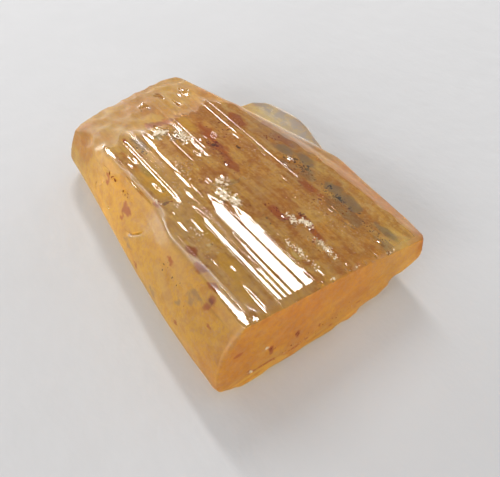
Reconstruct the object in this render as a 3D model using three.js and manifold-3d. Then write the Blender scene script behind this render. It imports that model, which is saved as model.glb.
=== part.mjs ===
// A loose topaz crystal: one flat, stubby orthorhombic prism lying on its widest side.
// x runs along the prism, with the basal cleavage at the near end (+x) and the etched, sloping
// break at the far end (-x). y runs across it, from the worn left flank to the thin right edge.
// The upper side carries the growth striations, which run along x. Everything is in millimetres.

import * as THREE from "three";
import { ConvexGeometry } from "three/addons/geometries/ConvexGeometry.js";
import { mergeVertices } from "three/addons/utils/BufferGeometryUtils.js";
import Module from "manifold-3d";

const wasm = await Module();
wasm.setup();

// ---------------------------------------------------------------- driving dimensions
// The prism is drawn from x = 0, its cleavage face, to x = -LENGTH.
const LENGTH = 19.2;
const THICKNESS = 4.3; // at the left shoulder, the thickest place
const SECTION_SPACING = 0.96; // distance between two sections of the prism
const OVERRUN = 0.5; // how far the prism is drawn past both ends before they are cut

// Lines along the prism, as [x, y] pairs in rising order of x.
const SHOULDER = [
  [-19.8, 2.0],
  [-13.7, 1.75],
  [-12.7, 1.4],
  [-10.8, 1.65],
  [-8.5, 1.66],
  [-7.6, 1.5],
  [-6.6, 1.12],
  [-3.4, 0.98],
  [0, 1.04],
  [0.5, 1.04],
];
const BELLY = [
  [-19.8, 1.34],
  [-15.1, 0.85],
  [-11.6, 0.36],
  [-7.7, -0.09],
  [-4.3, -0.4],
  [-1.3, -0.53],
  [0.5, -0.62],
];
const RIGHT_EDGE = [
  [-19.8, 13.6],
  [-9.1, 12.72],
  [-6.5, 12.4],
  [-4.8, 12.18],
  [-2.9, 12.02],
  [-1.1, 11.84],
  [0, 11.54],
  [0.5, 11.5],
];
const BELLY_HEIGHT = 1.35; // where the flank bulges most
const FOOT_WIDTH = 1.3; // the rounded foot below the bulge
const EDGE_HEIGHT = 2.95; // the thin right edge, at the cleavage
const EDGE_SINK = 0.035; // how fast that edge comes down with distance from the cleavage
const EDGE_SIDE = 0.85; // height of the narrow side below it

// The underside, as [distance in from the right edge, height] pairs, from its flat resting part.
const UNDERSIDE = [
  [5.0, 0],
  [4.6, 0.06],
  [4.15, 0.22],
  [3.6, 0.36],
  [3.2, 0.56],
  [2.7, 0.72],
  [2.2, 1.02],
  [1.7, 1.18],
  [1.2, 1.48],
  [0.7, 1.6],
  [0.28, 1.8],
];
const UNDERSIDE_EASE = 0.42; // share of that rise lost towards the far end

// ---------------------------------------------------------------- the striated side
const STRIATED_FROM = 1.16;
const STRIATED_TO = 11.2;
const STRIATIONS = 36;
const STRIATION_HEIGHT = 0.09; // the tallest, from trough to crest
const SHOULDER_GAP = 0.1; // least distance between two striations squeezed by the shoulder

// How far the upper side lies below the thickness at y, before its striations.
const CROWN_DROP = [
  [1.2, 0.05],
  [1.9, 0.12],
  [3.1, 0.22],
  [5.0, 0.26],
  [6.17, 0.38],
  [8.1, 0.62],
  [9.05, 0.78],
  [11.2, 1.06],
];

// How strong the striations are at y: faint on the broad bright face near the middle.
const STRENGTH = [
  [1.2, 1.0],
  [2.2, 1.0],
  [3.1, 0.8],
  [3.5, 0.35],
  [4.9, 0.3],
  [5.3, 1.0],
  [8.4, 0.8],
  [9.2, 1.3],
];

// Growth layers that thin out part way along: [from y, to y, x where one ends, its height].
const LAYERS = [
  [1.1, 2.0, -9.6, 0.07],
  [2.0, 3.1, -7.2, 0.1],
  [5.0, 6.2, -9.4, 0.08],
  [6.2, 9.0, -10.6, 0.12],
  [9.0, 11.3, -6.6, 0.1],
];
const LAYER_END = 0.8; // length of the slope where a layer thins out
const LAYER_RAGGED = 3.4; // how unevenly the striations of a layer end

// ---------------------------------------------------------------- small helpers
// A repeatable number from 0 to 1 for a pair of counters.
const scatter = (a, b = 0) => {
  const s = Math.sin(a * 12.9898 + b * 78.233 + 4.1) * 43758.5453;
  return s - Math.floor(s);
};

// The value at u of a line through [place, value] pairs in rising order of place.
const along = (pairs, u) => {
  const next = pairs.findIndex(([place]) => place > u);
  if (next === 0) return pairs[0][1];
  if (next < 0) return pairs.at(-1)[1];
  const [[a, va], [b, vb]] = [pairs[next - 1], pairs[next]];
  return THREE.MathUtils.mapLinear(u, a, b, va, vb);
};

const v3 = (x, y, z) => new THREE.Vector3(x, y, z);

// A manifold-3d solid from a closed three.js geometry.
function solidOf(geometry) {
  const bare = geometry.index ? geometry.toNonIndexed() : geometry.clone();
  bare.deleteAttribute("normal");
  bare.deleteAttribute("uv");
  const merged = mergeVertices(bare, 1e-5);
  return new wasm.Manifold(
    new wasm.Mesh({
      numProp: 3,
      vertProperties: merged.attributes.position.array,
      triVerts: new Uint32Array(merged.index.array),
    }),
  );
}

// Takes off everything on the outer side of the plane through point with that outward normal.
const BLOCK = 40;
function cutFace(solid, point, normal) {
  const n = normal.clone().normalize();
  const block = new THREE.BoxGeometry(BLOCK, BLOCK, BLOCK);
  block.applyQuaternion(new THREE.Quaternion().setFromUnitVectors(v3(0, 0, 1), n));
  block.translate(...point.clone().addScaledVector(n, BLOCK / 2));
  return solid.subtract(solidOf(block));
}

// Takes off the convex chip whose corners are given.
const chip = (solid, corners) => solid.subtract(solidOf(new ConvexGeometry(corners)));

// Takes a shallow dish out of a surface, at a point on it, facing its outward direction. The sizes
// are half its length, half its width and its depth; turn swings the length about that direction.
const RIM = 0.25; // share of the egg's half-height that the dish takes in
function dish(solid, point, outward, [length, width, depth], turn = 0) {
  const egg = new THREE.IcosahedronGeometry(1, 1);
  const rimRadius = Math.sqrt(1 - (1 - RIM) ** 2);
  egg.scale(length / rimRadius, width / rimRadius, depth / RIM);
  egg.rotateZ(turn);
  const n = outward.clone().normalize();
  egg.applyQuaternion(new THREE.Quaternion().setFromUnitVectors(v3(0, 0, 1), n));
  egg.translate(...point.clone().addScaledVector(n, (depth / RIM) * (1 - RIM)));
  return solid.subtract(solidOf(egg));
}

// ---------------------------------------------------------------- the prism's section
const pitch = (STRIATED_TO - STRIATED_FROM) / STRIATIONS;
const striationLines = Array.from({ length: STRIATIONS + 1 }, (_, i) => {
  const even = STRIATED_FROM + i * pitch;
  return i % STRIATIONS ? even + (scatter(i, 3) - 0.5) * 0.75 * pitch : even;
});

function crownHeight(x, i) {
  const y = striationLines[i];
  const side = i % 2 ? 0.5 : -0.5;
  const fade = 0.7 + 0.6 * scatter(i, Math.round(x / 2.3));
  const ridge = side * STRIATION_HEIGHT * along(STRENGTH, y) * fade * (0.5 + scatter(i, 7));
  const drop = LAYERS.filter(([from, to]) => y >= from && y < to)
    .map(([, , end, height]) => {
      const ownEnd = end + (scatter(i, 11) - 0.5) * LAYER_RAGGED;
      return height * THREE.MathUtils.smoothstep(ownEnd - x, 0, LAYER_END);
    })
    .reduce((sum, h) => sum + h, 0);
  return THICKNESS - along(CROWN_DROP, y) + ridge - drop;
}

// The closed outline of the section at x, as [y, z] points, anticlockwise seen from +x.
function section(x) {
  const away = THREE.MathUtils.clamp(-x / LENGTH, 0, 1);
  const station = Math.round(x / SECTION_SPACING);
  const [belly, shoulder] = [along(BELLY, x), along(SHOULDER, x)];
  const rightEdge = along(RIGHT_EDGE, x);
  const edgeHeight = EDGE_HEIGHT - EDGE_SINK * Math.max(-x, 0);
  const worn = (i, size) => size * (scatter(i, station) - 0.5);

  const foot = [10, 35, 62, 90].map((degrees, i) => {
    const a = THREE.MathUtils.degToRad(degrees);
    const y = belly + FOOT_WIDTH * (1 - Math.cos(a)) + worn(i, 0.09);
    return [y, BELLY_HEIGHT * (1 - Math.sin(a))];
  });
  const ease = 1 - UNDERSIDE_EASE * away;
  const under = UNDERSIDE.map(([inward, height]) => [rightEdge - inward, height * ease]);
  const right = [
    [rightEdge - 0.1, edgeHeight - EDGE_SIDE + worn(20, 0.2)],
    [rightEdge + worn(21, 0.08), edgeHeight - EDGE_SIDE / 2],
    [rightEdge, edgeHeight],
    [rightEdge - 0.2, edgeHeight + 0.2],
  ];
  const crown = striationLines.map((y, i) => {
    const clear = shoulder + SHOULDER_GAP * (i + 1);
    return [Math.max(y, clear), crownHeight(x, i)];
  });
  const flank = [1, 0.86, 0.7, 0.52, 0.34, 0.16].map((up, i) => [
    belly + (shoulder - belly) * up ** 1.7 + (i ? worn(i + 30, 0.1) : 0),
    THREE.MathUtils.lerp(BELLY_HEIGHT, THICKNESS - 0.06, up),
  ]);
  return [...foot, ...under, ...right, ...crown.reverse(), ...flank];
}

// ---------------------------------------------------------------- the prism
const HUB = [5.5, 2.0]; // the y and z that both end caps fan out from

// One skin through the sections, closed at both ends.
function prism() {
  const count = Math.ceil((LENGTH + 2 * OVERRUN) / SECTION_SPACING);
  const xs = Array.from({ length: count + 1 }, (_, k) => OVERRUN - k * SECTION_SPACING);
  const rings = xs.map(section);
  const around = rings[0].length;
  const positions = rings.flatMap((ring, k) => ring.flatMap(([y, z]) => [xs[k], y, z]));
  positions.push(xs[0], ...HUB, xs.at(-1), ...HUB);

  const faces = [];
  const last = (rings.length - 1) * around;
  const hub = rings.length * around;
  for (let i = 0; i < around; i++) {
    const next = (i + 1) % around;
    faces.push(hub, i, next, hub + 1, last + next, last + i);
    for (let k = 0; k < last; k += around)
      faces.push(k + i, k + i + around, k + next + around, k + i, k + next + around, k + next);
  }
  const skin = new THREE.BufferGeometry();
  skin.setAttribute("position", new THREE.Float32BufferAttribute(positions, 3));
  skin.setIndex(faces);
  return solidOf(skin);
}

// ---------------------------------------------------------------- the thin plate at the far right
const LEDGE_TOP = 2.0;
const LEDGE_THICK = 0.85;
const LEDGE_OUTLINE = [
  [-7.6, 12.45],
  [-9.3, 13.0],
  [-11.3, 13.54],
  [-13.0, 13.74],
  [-14.5, 13.4],
  [-15.3, 12.35],
  [-15.4, 11.0],
  [-14.0, 9.6],
  [-9.4, 10.4],
];

// The sliver that the break left standing below the right wall.
function ledge() {
  const outline = new THREE.Shape(LEDGE_OUTLINE.map(([x, y]) => new THREE.Vector2(x, y)));
  const plate = new THREE.ExtrudeGeometry(outline, { depth: LEDGE_THICK, bevelEnabled: false });
  plate.translate(0, 0, LEDGE_TOP - LEDGE_THICK);
  let s = solidOf(plate);
  s = cutFace(s, v3(-12.5, 13.5, LEDGE_TOP), v3(-0.1, 0.45, 0.89)); // its upper side dips outwards
  s = cutFace(s, v3(-12.5, 13.7, LEDGE_TOP - 0.5), v3(0.0, 0.7, -0.7)); // feathered lower edge
  return cutFace(s, v3(-15.3, 12.7, LEDGE_TOP - 0.2), v3(-0.7, 0.3, 0.65));
}

// ---------------------------------------------------------------- the breaks at the far end
// Each break as [a point on it], [its outward direction].
const WALL = [v3(-14.2, 10.5, 3.0), v3(-0.15, 0.634, 0.759)];
const FAR_FACES = [
  [v3(-14.9, 3.6, 4.2), v3(-0.25, -0.05, 0.97)], // the sloping break
  [v3(-15.2, 6.4, 4.05), v3(-0.19, 0.03, 0.98)],
  [v3(-15.6, 8.3, 3.94), v3(-0.22, 0.1, 0.97)],
  [v3(-12.9, 1.5, 4.26), v3(-0.2, -0.33, 0.92)], // its left corner
  [v3(-18.9, 7.4, 2.9), v3(-0.93, -0.2, 0.3)], // the steep end below the slope
  [v3(-17.95, 3.0, 2.6), v3(-0.88, -0.36, 0.25)],
  [v3(-18.2, 1.9, 1.8), v3(-0.74, -0.66, 0.2)],
  [v3(-17.7, 1.2, 1.5), v3(-0.45, -0.88, 0.15)],
  [v3(-19.15, 8.8, 2.9), v3(-0.95, 0.22, 0.25)],
  [v3(-18.3, 9.75, 2.6), v3(-0.5, 0.82, 0.3)],
  [v3(-18.2, 6.0, 0.0), v3(-0.8, 0.0, -0.6)], // the undercut of the end
];
// The notch between the end and the ledge: its inner side, upper corners then lower ones.
const NOTCH = [v3(-15.1, 14.4, 4.5), v3(-15.6, 10.9, 4.5), v3(-15.1, 14.4, -1), v3(-16.2, 11.5, -1)];
const NOTCH_REACH = -21;
const notchFar = NOTCH.map((corner) => v3(NOTCH_REACH, corner.y + 0.2, corner.z));

function farEnd(solid) {
  let s = cutFace(solid, ...WALL);
  for (const [point, outward] of FAR_FACES) s = cutFace(s, point, outward);
  return chip(s.add(ledge()), [...NOTCH, ...notchFar]);
}

// ---------------------------------------------------------------- the cleavage end
const CLEAVAGE_FACES = [
  [v3(0, 5, 2), v3(1, 0, 0)], // the basal cleavage
  [v3(-0.22, -0.3, 1.5), v3(0.5, -0.86, 0.02)], // worn corner beside the flank
  [v3(-0.1, 0.42, 3.3), v3(0.66, -0.62, 0.42)],
  [v3(-0.02, 11.46, 2.4), v3(0.75, 0.66, 0.1)], // and beside the right edge
  [v3(-0.02, 4.0, 4.0), v3(0.55, 0.05, 0.83)], // worn upper edge
  [v3(0, 1.0, 0.07), v3(0.75, 0.0, -0.66)], // worn lower edge
  [v3(0, 0.62, 0.2), v3(0.55, -0.4, -0.73)], // and its left end
];

// ---------------------------------------------------------------- chips and hollows
const [UP, OUT, LEFT, RIGHT] = [v3(0, 0, 1), v3(1, 0, 0), v3(0, -1, 0), v3(0, 1, 0)];
const FOOT_LEFT = v3(0, -0.75, -0.66);
const LOWER_EDGE = v3(0.8, 0.1, -0.6);

// Each dish as point, outward direction, sizes, turn.
const CHIPS = [
  // conchoidal chips along the foot of the flank
  [v3(-1.4, -0.32, 0.3), FOOT_LEFT, [0.8, 0.4, 0.16], 0.3],
  [v3(-3.9, -0.2, 0.35), FOOT_LEFT, [0.9, 0.35, 0.14], 0],
  [v3(-6.7, 0.05, 0.35), FOOT_LEFT, [0.7, 0.35, 0.16], -0.2],
  [v3(-9.4, 0.35, 0.35), FOOT_LEFT, [1.2, 0.4, 0.15], 0.1],
  [v3(-12.7, 0.75, 0.35), FOOT_LEFT, [0.9, 0.4, 0.18], -0.2],
  [v3(-15.6, 1.15, 0.4), FOOT_LEFT, [0.9, 0.5, 0.2], 0.2],
  // splinters off the lower edge of the cleavage
  [v3(0, 2.4, 0.1), LOWER_EDGE, [0.16, 0.6, 0.09], 0],
  [v3(0, 4.3, 0.06), LOWER_EDGE, [0.2, 0.9, 0.1], 0.1],
  [v3(0, 6.5, 0.12), LOWER_EDGE, [0.2, 0.6, 0.1], -0.1],
  [v3(0, 8.2, 0.58), LOWER_EDGE, [0.26, 0.7, 0.12], 0.2],
  [v3(0, 9.9, 1.36), LOWER_EDGE, [0.26, 0.6, 0.12], 0.1],
  // flakes off the cleavage face
  [v3(0, 5.6, 1.25), OUT, [0.16, 0.8, 0.05], 0.25],
  [v3(0, 1.9, 1.7), OUT, [0.14, 0.5, 0.05], -0.3],
  [v3(0, 8.6, 2.1), OUT, [0.14, 1.0, 0.04], 0.3],
  [v3(0, 3.4, 3.0), OUT, [0.12, 0.8, 0.04], 0.1],
  // chips along the right edge
  [v3(-1.9, 11.95, 2.75), RIGHT, [0.9, 0.5, 0.12], 0.1],
  [v3(-4.6, 12.2, 2.3), RIGHT, [1.2, 0.5, 0.14], -0.1],
  [v3(-7.4, 12.5, 2.6), RIGHT, [0.9, 0.5, 0.14], 0.2],
  // fractured hollows in the striated side
  [v3(-7.3, 5.3, 4.0), UP, [0.9, 0.45, 0.14], -0.35],
  [v3(-6.3, 5.1, 4.03), UP, [0.6, 0.3, 0.12], 0.3],
  [v3(-8.4, 5.6, 3.97), UP, [0.7, 0.34, 0.1], 0.1],
  [v3(-4.6, 6.6, 3.88), UP, [0.7, 0.26, 0.1], -0.3],
  [v3(-3.6, 7.0, 3.84), UP, [0.8, 0.3, 0.12], -0.2],
  [v3(-2.1, 8.1, 3.68), UP, [0.9, 0.22, 0.08], -0.1],
  [v3(-12.7, 5.6, 3.93), UP, [1.3, 0.7, 0.12], 0.4],
  [v3(-13.8, 6.6, 3.8), UP, [0.9, 0.5, 0.1], 0.1],
  [v3(-11.8, 3.0, 4.02), UP, [0.9, 0.25, 0.08], -0.1],
  // nicks in the shoulder
  [v3(-2.4, 1.0, 4.22), v3(0, -0.7, 0.7), [0.7, 0.16, 0.06], 0],
  [v3(-7.4, 1.4, 4.22), v3(0.2, -0.7, 0.7), [0.8, 0.3, 0.14], 0.2],
  [v3(-9.4, 1.66, 4.15), v3(0, -0.7, 0.7), [0.6, 0.2, 0.1], -0.1],
  [v3(-12.4, 1.5, 4.15), v3(-0.1, -0.7, 0.7), [0.9, 0.35, 0.16], -0.1],
  [v3(-14.2, 1.75, 4.0), v3(-0.2, -0.6, 0.7), [0.7, 0.5, 0.2], 0.3],
  [v3(-15.4, 1.6, 3.6), v3(-0.3, -0.7, 0.6), [0.8, 0.6, 0.2], 0],
];

// The etched hollows are strewn over a stretch of surface: this many rows and columns of them.
const SLOPE_HOLLOWS = { rows: 4, columns: 6, from: [-14.9, 2.2], to: [-18.5, 9.7] };
const END_HOLLOWS = { rows: 2, columns: 6, from: [2.9, 2.7], to: [0.7, 9.3] };
const FLANK_WAVES = { rows: 2, columns: 8, from: [-0.9, 1.2], to: [-17.0, 3.9] };

// Calls place(u, v, k) at each strewn spot, k counting the spots.
function strew({ rows, columns, from, to }, place) {
  for (let k = 0; k < rows * columns; k++) {
    const [row, column] = [k % rows, Math.floor(k / rows)];
    const s = (row + 0.5 + 0.7 * (scatter(k, 41) - 0.5)) / rows;
    const t = (column + 0.5 + 0.7 * (scatter(k, 43) - 0.5)) / columns;
    place(s, t, k, from, to);
  }
}

const heightOn = ([point, outward], x, y) =>
  point.z - (outward.x * (x - point.x) + outward.y * (y - point.y)) / outward.z;
const reachOn = ([point, outward], y, z) =>
  point.x - (outward.y * (y - point.y) + outward.z * (z - point.z)) / outward.x;
const SLOPES = FAR_FACES.filter(([, outward]) => outward.z > 0.8);
const STEEPS = FAR_FACES.filter(([, outward]) => outward.x < -0.8 && outward.z > 0);
const lerp = THREE.MathUtils.lerp;

function etch(solid) {
  let s = solid;
  strew(SLOPE_HOLLOWS, (u, v, k, from, to) => {
    const [x, y] = [lerp(from[0], to[0], u), lerp(from[1], to[1], v)];
    const z = Math.min(THICKNESS - along(CROWN_DROP, y), ...SLOPES.map((f) => heightOn(f, x, y)));
    const size = lerp(0.45, 0.85, scatter(k, 45));
    s = dish(s, v3(x, y, z), v3(-0.25, 0, 1), [size, size * 0.8, size * 0.2], 6 * scatter(k, 47));
  });
  strew(END_HOLLOWS, (u, v, k, from, to) => {
    const [z, y] = [lerp(from[0], to[0], u), lerp(from[1], to[1], v)];
    const x = Math.max(...STEEPS.map((f) => reachOn(f, y, z)));
    const size = lerp(0.5, 0.85, scatter(k, 49));
    s = dish(s, v3(x, y, z), v3(-1, -0.1, 0.2), [size, size * 0.8, size * 0.16], 6 * scatter(k, 51));
  });
  strew(FLANK_WAVES, (u, v, k, from, to) => {
    const [z, x] = [lerp(from[1], to[1], u), lerp(from[0], to[0], v)];
    const up = (z - BELLY_HEIGHT) / (THICKNESS - 0.06 - BELLY_HEIGHT);
    const y = lerp(along(BELLY, x), along(SHOULDER, x), Math.max(up, 0) ** 1.7);
    const size = lerp(0.9, 1.5, scatter(k, 53));
    s = dish(s, v3(x, y, z), v3(0, -0.94, 0.34), [size, size * 0.5, size * 0.04], scatter(k, 55));
  });
  return s;
}

// ---------------------------------------------------------------- the part
let crystalSolid = farEnd(prism());
for (const [point, outward] of CLEAVAGE_FACES) crystalSolid = cutFace(crystalSolid, point, outward);
for (const [point, outward, sizes, turn] of CHIPS)
  crystalSolid = dish(crystalSolid, point, outward, sizes, turn);
crystalSolid = etch(crystalSolid);

const cut = crystalSolid.getMesh();
const crystalGeometry = new THREE.BufferGeometry();
crystalGeometry.setAttribute("position", new THREE.BufferAttribute(cut.vertProperties, 3));
crystalGeometry.setIndex(new THREE.BufferAttribute(cut.triVerts, 1));
crystalGeometry.computeBoundingBox();

// The origin is the middle of the underside, so the crystal stands on z = 0.
const middle = crystalGeometry.boundingBox.getCenter(new THREE.Vector3());
crystalGeometry.translate(-middle.x, -middle.y, -crystalGeometry.boundingBox.min.z);
crystalGeometry.computeVertexNormals();

const topaz = new THREE.MeshStandardMaterial({
  color: 0xc98238,
  roughness: 0.25,
  metalness: 0,
  transparent: true,
  opacity: 0.85,
  flatShading: true,
});
const crystal = new THREE.Mesh(crystalGeometry, topaz);
crystal.name = "topaz_crystal";

const part = new THREE.Group();
part.add(crystal);

export default part;
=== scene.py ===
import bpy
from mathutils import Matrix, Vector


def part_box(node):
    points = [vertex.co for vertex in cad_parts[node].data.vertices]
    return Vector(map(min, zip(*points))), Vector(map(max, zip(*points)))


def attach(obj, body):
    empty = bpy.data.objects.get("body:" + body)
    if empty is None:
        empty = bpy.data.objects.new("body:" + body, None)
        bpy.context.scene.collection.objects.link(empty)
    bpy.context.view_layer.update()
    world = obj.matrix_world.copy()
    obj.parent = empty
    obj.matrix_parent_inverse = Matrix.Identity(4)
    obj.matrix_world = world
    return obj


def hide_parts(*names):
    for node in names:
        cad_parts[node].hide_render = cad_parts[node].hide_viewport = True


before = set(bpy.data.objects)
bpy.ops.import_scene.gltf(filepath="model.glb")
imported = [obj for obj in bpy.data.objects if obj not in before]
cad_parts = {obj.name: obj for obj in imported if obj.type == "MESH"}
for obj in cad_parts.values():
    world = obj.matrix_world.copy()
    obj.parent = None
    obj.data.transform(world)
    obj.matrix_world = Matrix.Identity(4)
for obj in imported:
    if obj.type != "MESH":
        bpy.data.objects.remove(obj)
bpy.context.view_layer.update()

import math

import bpy
import numpy as np
from mathutils import Matrix, Vector

# ------------------------------------------------------------------ the crystal's body
# One piece of clear topaz, honey to orange, with a basal cleavage at its near end. Its shape is
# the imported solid's, drawn again as a fine skin so that the growth striations, the etching and the
# wear can be raised on it. Places are in millimetres: x back from the cleavage, y from the flank.
MM = 0.001
low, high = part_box("topaz_crystal")
FLANK_BULGE = 0.55  # how far the flank stands out past y = 0
crystal_origin = np.array([high[0], low[1], low[2]]) + np.array([0, FLANK_BULGE, 0]) * MM

SKIN_CELL = 0.052  # size of the skin's cells across the crystal
SKIN_STRETCH = 4.0  # and how much longer they are along it
WEAR = 8  # rounds of smoothing that wear its edges


def crystal_skin():
    """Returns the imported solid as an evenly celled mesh, long cells lying along the striations."""
    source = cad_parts["topaz_crystal"]
    mesh = source.data.copy()
    mesh.transform(source.matrix_world)
    mesh.transform(Matrix.Translation(-Vector(crystal_origin)))
    mesh.transform(Matrix.Diagonal((1 / MM / SKIN_STRETCH, 1 / MM, 1 / MM, 1)))
    rough = bpy.data.objects.new("rough_skin", mesh)
    bpy.context.scene.collection.objects.link(rough)
    cells = rough.modifiers.new("cells", "REMESH")
    cells.mode = "VOXEL"
    cells.voxel_size = SKIN_CELL
    cells.adaptivity = 0
    wear = rough.modifiers.new("wear", "SMOOTH")
    wear.factor = 0.5
    wear.iterations = WEAR
    even = bpy.data.meshes.new_from_object(
        rough.evaluated_get(bpy.context.evaluated_depsgraph_get())
    )
    bpy.data.objects.remove(rough)
    even.transform(Matrix.Diagonal((SKIN_STRETCH, 1, 1, 1)))
    return even


def scattered(i, j, seed):
    """A repeatable number from 0 to 1 for each pair of whole numbers."""
    s = np.sin(i * 127.1 + j * 311.7 + seed * 74.7) * 43758.5453
    return s - np.floor(s)


def facets(u, v, seed):
    """Ridges from 0 to 1: straight slopes along u between uneven crests, changing slowly along v."""
    i, j = np.floor(u), np.floor(v)
    f, g = u - i, v - j
    g = g * g * (3 - 2 * g)
    near = scattered(i, j, seed) * (1 - f) + scattered(i + 1, j, seed) * f
    far = scattered(i, j + 1, seed) * (1 - f) + scattered(i + 1, j + 1, seed) * f
    return near * (1 - g) + far * g


def lumps(u, v, seed):
    """Rounded bumps and hollows from 0 to 1."""
    f = u - np.floor(u)
    return facets(np.floor(u) + f * f * (3 - 2 * f), v, seed)


def ramp(value, start, end):
    t = np.clip((value - start) / (end - start), 0, 1)
    return t * t * (3 - 2 * t)


def patches(places, x, y, ragged):
    """How much each point lies in one of the patches, given as x, y, half length, half width."""
    amount = np.zeros_like(x)
    for place_x, place_y, long, wide in places:
        distance = np.hypot((x - place_x) / long, (y - place_y) / wide)
        amount = np.maximum(amount, ramp(-distance - ragged, -1.25, -0.6))
    return amount


crystal_mesh = crystal_skin()
count = len(crystal_mesh.vertices)
points = np.empty(count * 3, np.float32)
normals = np.empty(count * 3, np.float32)
crystal_mesh.vertices.foreach_get("co", points)
crystal_mesh.vertices.foreach_get("normal", normals)
points, normals = points.reshape(-1, 3).astype(float), normals.reshape(-1, 3).astype(float)
x, y, z = points.T.copy()
nx, ny, nz = normals.T

# The general height of the striated face, which falls from the shoulder to the thin edge, and
# where each kind of surface lies, from 0 to 1.
FACE_Y = [0.6, 1.2, 1.9, 3.1, 5.0, 6.17, 8.1, 9.05, 11.2, 12.9]
FACE_Z = [4.28, 4.25, 4.18, 4.09, 4.02, 3.92, 3.68, 3.52, 3.24, 3.0]
BREAK_X, BREAK_SKEW, BREAK_RAGGED = -14.9, -0.12, 1.3  # where the etched break begins at y = 4
SHOULDER_Y, SHOULDER_SHIFT = 1.0, 0.57  # where the flank turns over, and how far that moves in
RIM_Y, RIM_TAPER, TAPER_FROM = 11.3, 0.16, -8  # where the thin edge begins, and its taper
general = np.interp(y, FACE_Y, FACE_Z)
break_line = BREAK_X + BREAK_SKEW * (y - 4) + BREAK_RAGGED * lumps(y / 1.1, x * 0, 3)
ragged_break = break_line + 0.6 * facets(y / 0.3, x * 0, 4) - 0.3
on_top = ramp(z, general - 0.6, general - 0.4) * ramp(nz, 0.45, 0.65)
striated = on_top * ramp(x, break_line - 0.9, break_line + 0.9)
shoulder_y = SHOULDER_Y + SHOULDER_SHIFT * ramp(-x, 5.5, 8.5)
rim_y = RIM_Y - RIM_TAPER * np.maximum(0, TAPER_FROM - x)
inner = ramp(y - shoulder_y, -0.55, -0.2) * ramp(rim_y - y, -0.5, 0.1)
broken = ramp(-x, -break_line, -break_line + 0.5) * ramp(z, 2.3, 2.7)
flank = ramp(-ny, 0.5, 0.8)
cleavage = ramp(nx, 0.7, 0.9)

# The striated face is a flight of treads with little risers down between them. The treads follow
# the general slope and look away from the window. A band of them leans back, faces it and shines.
TREADS = [0.6, 1.16, 1.72, 2.32, 3.1, 3.5, 3.81, 4.2, 4.46, 4.8, 5.06]  # where the wide ones start
NARROW_TREADS = (0.17, 0.5)  # least and greatest width of those past the band
TREAD_Y = [1.0, 3.0, 3.2, 4.9, 5.1, 6.0, 6.2, 8.0, 8.2, 9.0, 9.1, 12.9]
TREAD_TILT = [0.065, 0.065, 0.02, 0.02, 0.085, 0.085, 0.105, 0.105, 0.145, 0.145, 0.11, 0.12]
TREAD_WOBBLE, WOBBLE_LENGTH = 0.012, 2.3  # how much a tread's tilt changes, and in how many mm
RISER, BAND_RISER = 0.1, 0.05  # widths of the risers
SHINING_TILT = (0.047, -0.0197)  # the tilt that faces the window at y = 0, and its change with y
BAND = [3.02, 3.36, 3.6, 3.88, 4.5, 5.02]  # where its strands start
BAND_END = [-7.0, -2.8, -4.6, -7.4, -6.2, 0.0]  # how far back each one reaches
BAND_CURL = 3.2  # how much nearer the sides of a strand end than its middle
BAND_DROP = 0.05  # and how far the band lies below the face
LAYERS = [  # growth layers: from y, to y, x where one thins out, its height
    (2.0, 3.1, -7.2, 0.03),
    (5.06, 6.1, -9.4, 0.04),
    (6.2, 8.7, -10.6, 0.05),
    (9.0, 11.9, -6.6, 0.05),
]
LAYER_RAGGED = 1.2  # how unevenly they end
GLINTS = [  # small faces turned to the window: x, y, half length, half width
    (-10.9, 3.95, 2.6, 0.1),
    (-12.8, 4.02, 0.7, 0.16),
    (-9.3, 3.84, 0.9, 0.13),
    (-13.3, 4.3, 0.35, 0.14),
    (-13.48, 4.75, 0.35, 0.2),
    (-12.8, 5.6, 0.4, 0.12),
    (-12.0, 6.1, 0.35, 0.12),
    (-11.8, 7.4, 0.2, 0.08),
    (-13.2, 1.85, 0.7, 0.13),
    (-13.7, 2.94, 0.25, 0.08),
    (-11.5, 1.45, 0.15, 0.06),
    (-9.7, 1.65, 1.3, 0.07),
    (-8.4, 2.03, 0.45, 0.07),
    (-6.4, 2.03, 0.3, 0.08),
    (-6.0, 2.62, 0.55, 0.07),
    (-1.3, 1.2, 1.3, 0.14),
    (-0.45, 1.27, 0.55, 0.24),
    (-1.5, 1.5, 1.0, 0.05),
    (-0.7, 2.27, 1.2, 0.1),
    (-0.15, 1.7, 0.4, 0.2),
    (-8.45, 4.74, 0.3, 0.1),
    (-8.45, 5.64, 0.28, 0.15),
    (-7.5, 4.75, 0.35, 0.15),
    (-6.8, 5.1, 0.5, 0.2),
    (-5.8, 6.17, 1.5, 0.035),
    (-0.9, 9.06, 0.9, 0.04),
    (-2.4, 6.45, 0.2, 0.1),
    (-3.9, 6.5, 0.25, 0.1),
    (-3.6, 7.1, 0.25, 0.08),
    (-0.1, 5.7, 0.15, 0.1),
    (-0.2, 6.5, 0.12, 0.08),
    (-0.15, 7.6, 0.12, 0.08),
    (-0.1, 9.1, 0.2, 0.1),
    (-16.6, 8.35, 0.7, 0.17),
    (-16.2, 5.6, 0.5, 0.13),
    (-16.9, 6.9, 0.45, 0.1),
    (-15.8, 7.3, 0.5, 0.09),
]
GLINT_EDGE = (-1.2, -0.8)  # where a small face fades out, in parts of its half sizes
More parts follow.
